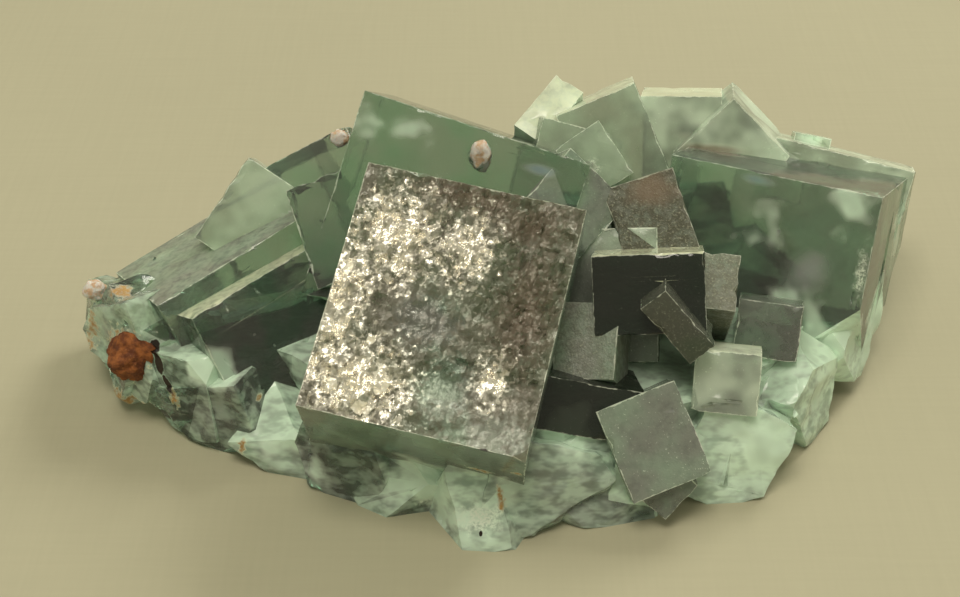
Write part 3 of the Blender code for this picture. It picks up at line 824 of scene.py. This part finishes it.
class FluoriteCrystalSettings(bpy.types.PropertyGroup):
    """Sizes and colours of the green cluster."""

    etch_depth: bpy.props.FloatProperty(
        name="Etch Depth", description="Relief of the etched face, times its usual one",
        default=1.0, min=0.0, max=1.3,
    )
    break_depth: bpy.props.FloatProperty(
        name="Break Depth", description="Relief of the broken faces, times its usual one",
        default=1.0, min=0.0, max=1.3,
    )
    wear_depth: bpy.props.FloatProperty(
        name="Wear Depth", description="Wear of the crystals' edges, times its usual one",
        default=1.0, min=0.0, max=1.3,
    )
    clearness: bpy.props.FloatProperty(
        name="Clearness", description="Light let through where nothing lies on the crystal",
        default=0.95, min=0.0, max=1.0, subtype="FACTOR",
    )
    depth_density: bpy.props.FloatProperty(
        name="Depth Density", description="How fast the crystal darkens with depth, per metre",
        default=38.0, min=0.0,
    )
    depth_colour: bpy.props.FloatVectorProperty(
        name="Depth Colour", description="Colour that deep crystal lets through",
        subtype="COLOR", size=4, default=(0.14, 0.45, 0.34, 1), min=0.0, max=1.0,
    )
    clear_colour: bpy.props.FloatVectorProperty(
        name="Clear Colour", description="Colour of the clearest crystal",
        subtype="COLOR", size=4, default=(0.92, 0.96, 0.86, 1), min=0.0, max=1.0,
    )
    deep_colour: bpy.props.FloatVectorProperty(
        name="Deep Colour", description="Colour of the crystal's greener zones",
        subtype="COLOR", size=4, default=(0.42, 0.62, 0.46, 1), min=0.0, max=1.0,
    )
    haze_colour: bpy.props.FloatVectorProperty(
        name="Haze Colour", description="Colour of the milky zones",
        subtype="COLOR", size=4, default=(0.68, 0.79, 0.63, 1), min=0.0, max=1.0,
    )
    break_colour: bpy.props.FloatVectorProperty(
        name="Break Colour", description="Colour of the veils of broken crystal",
        subtype="COLOR", size=4, default=(0.71, 0.90, 0.72, 1), min=0.0, max=1.0,
    )
    dust_colour: bpy.props.FloatVectorProperty(
        name="Dust Colour", description="Colour of the dust on the small crystals",
        subtype="COLOR", size=4, default=(0.07, 0.07, 0.045, 1), min=0.0, max=1.0,
    )
    speck_colour: bpy.props.FloatVectorProperty(
        name="Speck Colour", description="Colour of the pale specks in the dust",
        subtype="COLOR", size=4, default=(0.20, 0.20, 0.14, 1), min=0.0, max=1.0,
    )
    etched_colour: bpy.props.FloatVectorProperty(
        name="Etched Colour", description="Colour of the etched face",
        subtype="COLOR", size=4, default=(0.20, 0.17, 0.12, 1), min=0.0, max=1.0,
    )
    # Painted glint colour: the near-white of places where the etched face catches the light.
    painted_glint_colour: bpy.props.FloatVectorProperty(
        name="Painted Glint Colour", description="Colour of the glittering parts of the etched face",
        subtype="COLOR", size=4, default=(1.0, 0.95, 0.83, 1), min=0.0, max=1.0,
    )
    tarnish_colour: bpy.props.FloatVectorProperty(
        name="Tarnish Colour", description="Colour of the brown parts of the etched face",
        subtype="COLOR", size=4, default=(0.25, 0.19, 0.14, 1), min=0.0, max=1.0,
    )
    # Painted sheen: the pale colour painted on faces that look up, for the light they catch.
    painted_sheen_colour: bpy.props.FloatVectorProperty(
        name="Painted Sheen Colour", description="Colour of the film on faces that look up",
        subtype="COLOR", size=4, default=(0.61, 0.64, 0.44, 1), min=0.0, max=1.0,
    )
    # Frost colour also paints the pale lines along the edges: partly wear, partly painted
    # highlight.
    frost_colour: bpy.props.FloatVectorProperty(
        name="Frost Colour", description="Colour of frosted places and worn edges",
        subtype="COLOR", size=4, default=(0.74, 0.78, 0.66, 1), min=0.0, max=1.0,
    )


class FluoriteGrainSettings(bpy.types.PropertyGroup):
    """Colours of the small lumps of other minerals."""

    rust_light: bpy.props.FloatVectorProperty(
        name="Rust Light", description="Lighter colour of the rusty lump",
        subtype="COLOR", size=4, default=(0.36, 0.12, 0.03, 1), min=0.0, max=1.0,
    )
    rust_dark: bpy.props.FloatVectorProperty(
        name="Rust Dark", description="Darker colour of the rusty lump",
        subtype="COLOR", size=4, default=(0.13, 0.035, 0.01, 1), min=0.0, max=1.0,
    )
    grain_colour: bpy.props.FloatVectorProperty(
        name="Grain Colour", description="Colour of the pale grains",
        subtype="COLOR", size=4, default=(0.80, 0.74, 0.68, 1), min=0.0, max=1.0,
    )
    grain_stain: bpy.props.FloatVectorProperty(
        name="Grain Stain", description="Colour of the stain on the pale grains",
        subtype="COLOR", size=4, default=(0.62, 0.42, 0.26, 1), min=0.0, max=1.0,
    )


class FluoriteStageSettings(bpy.types.PropertyGroup):
    """The floor, the lights and the camera."""

    floor_colour: bpy.props.FloatVectorProperty(
        name="Floor Colour", description="Colour of the cloth under the specimen",
        subtype="COLOR", size=4, default=(0.41, 0.387, 0.27, 1), min=0.0, max=1.0,
    )
    air_colour: bpy.props.FloatVectorProperty(
        name="Surround Colour", description="Colour of the light from all round",
        subtype="COLOR", size=4, default=(0.90, 0.88, 0.68, 1), min=0.0, max=1.0,
    )
    air_strength: bpy.props.FloatProperty(
        name="Surround Strength", description="Strength of the light from all round",
        default=0.43, min=0.0,
    )
    key_power: bpy.props.FloatProperty(
        name="Key Power", description="Power of the soft light overhead",
        default=5.2, min=0.0, unit="POWER",
    )
    key_size: bpy.props.FloatProperty(
        name="Key Size", description="Side of the soft light overhead",
        default=0.40, min=0.01, unit="LENGTH",
    )
    rim_power: bpy.props.FloatProperty(
        name="Rim Power", description="Power of the soft light behind, on the right",
        default=6.0, min=0.0, unit="POWER",
    )
    lens: bpy.props.FloatProperty(
        name="Lens", description="Focal length of the camera, in millimetres",
        default=60.0, min=10.0,
    )


class FLUORITE_OT_crystals(bpy.types.Operator):
    """Make the cluster of green cubes and its broken base"""

    bl_idname = "fluorite.crystals"
    bl_label = "Crystals"

    def execute(self, context):
        settings = context.scene.fluorite_crystals
        cluster = merged_copy("fluorite_cluster", "green_crystals")
        owner, axis_of, etched, rise = sort_faces(cluster)
        lay_face_map(cluster, owner, axis_of, rise)
        crystals = list(CRYSTALS.values())
        # Dust and haze are the crystals' own; shade is painted shade for their dark depths.
        for look in ("dust", "haze", "shade"):
            values = [getattr(crystal, look) for crystal in crystals] + [0.0]
            add_number(cluster, look, [values[number] for number in owner])
        centres, normals = faces_of(cluster)
        # Painted sheen: a pale colour only on faces that look up, for the light from above.
        painted_sheens = np.array([crystal.painted_sheen for crystal in crystals] + [0.0])[owner]
        add_number(cluster, "painted_sheen", painted_sheens * np.clip((normals[:, 2] - 0.7) / 0.12, 0, 1))
        add_number(cluster, "broken", owner == BROKEN)
        along = centres[:, 0] / MM
        # Random tones of the facets, plus painted light along the specimen.
        tones = facet_tones(normals) + np.interp(along, *PAINTED_LIGHT_ALONG)
        add_number(cluster, "tone", np.clip(tones, 0.15, 1.0) * (owner == BROKEN))
        add_number(cluster, "etched", etched)
        add_number(cluster, "rise", rise)
        add_number(cluster, "whole", (owner != BROKEN) & ~etched)
        refine(
            cluster,
            lambda mesh, face: face[mesh.faces.layers.float["etched"]] > 0.5,
            ETCHED_CUTS,
        )
        refine_long_edges(cluster, "broken", BROKEN_EDGE, REFINE_ROUNDS)
        refine_long_edges(cluster, "whole", WHOLE_EDGE, REFINE_ROUNDS)
        etch(cluster, settings.etch_depth)
        wear(cluster, settings.wear_depth)
        roughen_breaks(cluster, settings.break_depth)
        make_active(cluster)
        bpy.ops.object.shade_smooth_by_angle(angle=radians(SMOOTH_ANGLE))
        finish_piece(cluster, "fluorite_cluster", crystal_material(settings))
        return {"FINISHED"}


class FLUORITE_OT_rust_lump(bpy.types.Operator):
    """Make the rusty lump at the left tip"""

    bl_idname = "fluorite.rust_lump"
    bl_label = "Rust Lump"

    def execute(self, context):
        lump = make_lump("iron_oxide_lump", "rust_lump", 0.2, 1.6)
        material = rust_material(context.scene.fluorite_grains)
        finish_piece(lump, "iron_oxide_lump", material)
        return {"FINISHED"}


class FLUORITE_OT_pale_grains(bpy.types.Operator):
    """Make the three small pale grains"""

    bl_idname = "fluorite.pale_grains"
    bl_label = "Pale Grains"

    def execute(self, context):
        material = grain_material(context.scene.fluorite_grains)
        for place in ("back", "left", "tip"):
            grain = make_lump(f"pale_grain_{place}", f"chalky_grain_{place}", 0.2, 1.0)
            finish_piece(grain, f"pale_grain_{place}", material)
        return {"FINISHED"}


KEY_PLACE, KEY_TINT = (-0.10, -0.25, 1.0), (1, 0.93, 0.80)
RIM_PLACE, RIM_TINT = (0.50, 0.60, 0.75), (1, 0.97, 0.86)
AIM = (0, 0, 0.02)  # the point of the specimen that the lights look at
CAMERA_PLACE = (-0.0042, -0.1948, 0.1675)
CAMERA_PITCH = 52  # degrees up from looking straight down
SENSOR_WIDTH = 36
BOUNCES = {  # of the light, few enough that the clear crystal still renders quickly
    "max_bounces": 5, "diffuse_bounces": 2, "glossy_bounces": 2, "transmission_bounces": 4,
}


def floor_material(colour):
    """Pale cloth with a faint, uneven weave."""
    shader = Shader("floor_cloth")
    place = shader.millimetres()
    cloud = shader.noise(place, 0.008, 1.0)
    across = shader.noise(shader.stretched(place, (1.2, 0.05, 1)), 1.0, 1.0)
    along = shader.noise(shader.stretched(place, (0.05, 1.2, 1)), 1.0, 1.0)
    weave = shader.plus(across, along)
    shade = shader.plus(0.88, shader.times(cloud, 0.14), shader.times(weave, 0.05))
    tint = shader.add(
        "ShaderNodeVectorMath", {0: colour[:3], "Scale": shade}, operation="SCALE"
    )
    shader.finish(Base_Color=tint, Roughness=0.9)
    return shader.material


def add_light(name, power, size, place, colour):
    """A square soft light that looks at the specimen."""
    light = bpy.data.lights.new(name, "AREA")
    light.energy = power
    light.size = size
    light.color = colour
    obj = bpy.data.objects.new(name, light)
    bpy.context.scene.collection.objects.link(obj)
    obj.location = place
    towards = Vector(AIM) - Vector(place)
    obj.rotation_euler = towards.to_track_quat("-Z", "Y").to_euler()
    return obj


class FLUORITE_OT_stage(bpy.types.Operator):
    """Make the floor, the lights and the camera"""

    bl_idname = "fluorite.stage"
    bl_label = "Stage"

    def execute(self, context):
        settings = context.scene.fluorite_stage
        select_none()
        bpy.ops.mesh.primitive_plane_add(size=6.0, location=(0, 1.0, 0))
        floor = context.active_object
        floor.name = "floor"
        bpy.ops.object.transform_apply(location=True, rotation=True, scale=True)
        floor.data.materials.append(floor_material(settings.floor_colour))
        world = bpy.data.worlds.new("surround")
        world.use_nodes = True
        air = world.node_tree.nodes["Background"]
        air.inputs["Color"].default_value = settings.air_colour
        air.inputs["Strength"].default_value = settings.air_strength
        context.scene.world = world
        add_light("key", settings.key_power, settings.key_size, KEY_PLACE, KEY_TINT)
        add_light("rim", settings.rim_power, settings.key_size, RIM_PLACE, RIM_TINT)
        camera = bpy.data.cameras.new("camera")
        camera.lens = settings.lens
        camera.sensor_width = SENSOR_WIDTH
        camera.clip_start = 0.01
        view = bpy.data.objects.new("camera", camera)
        context.scene.collection.objects.link(view)
        view.location = CAMERA_PLACE
        view.rotation_euler = (radians(CAMERA_PITCH), 0, 0)
        context.scene.camera = view
        context.scene.view_settings.view_transform = "Standard"
        for bounces, count in BOUNCES.items():
            setattr(context.scene.cycles, bounces, count)
        return {"FINISHED"}


class FLUORITE_PT_panel(bpy.types.Panel):
    """Lists the specimen's pieces and settings"""

    bl_idname = "FLUORITE_PT_panel"
    bl_label = "Fluorite Specimen"
    bl_space_type = "VIEW_3D"
    bl_region_type = "UI"
    bl_category = "Fluorite"

    def draw(self, context):
        for operator in OPERATORS:
            self.layout.operator(operator.bl_idname)
        for group in SETTINGS:
            box = self.layout.box()
            for name in SETTINGS[group].__annotations__:
                box.prop(getattr(context.scene, group), name)


OPERATORS = (
    FLUORITE_OT_crystals, FLUORITE_OT_rust_lump, FLUORITE_OT_pale_grains, FLUORITE_OT_stage,
)
SETTINGS = {
    "fluorite_crystals": FluoriteCrystalSettings,
    "fluorite_grains": FluoriteGrainSettings,
    "fluorite_stage": FluoriteStageSettings,
}


def register():
    for group in (*SETTINGS.values(), *OPERATORS, FLUORITE_PT_panel):
        bpy.utils.register_class(group)
    for name, group in SETTINGS.items():
        setattr(bpy.types.Scene, name, bpy.props.PointerProperty(type=group))


def unregister():
    for name in SETTINGS:
        delattr(bpy.types.Scene, name)
    for group in (FLUORITE_PT_panel, *OPERATORS, *SETTINGS.values()):
        bpy.utils.unregister_class(group)


def main():
    register()
    bpy.ops.fluorite.crystals()
    bpy.ops.fluorite.rust_lump()
    bpy.ops.fluorite.pale_grains()
    bpy.ops.fluorite.stage()


if __name__ == "__main__":
    main()
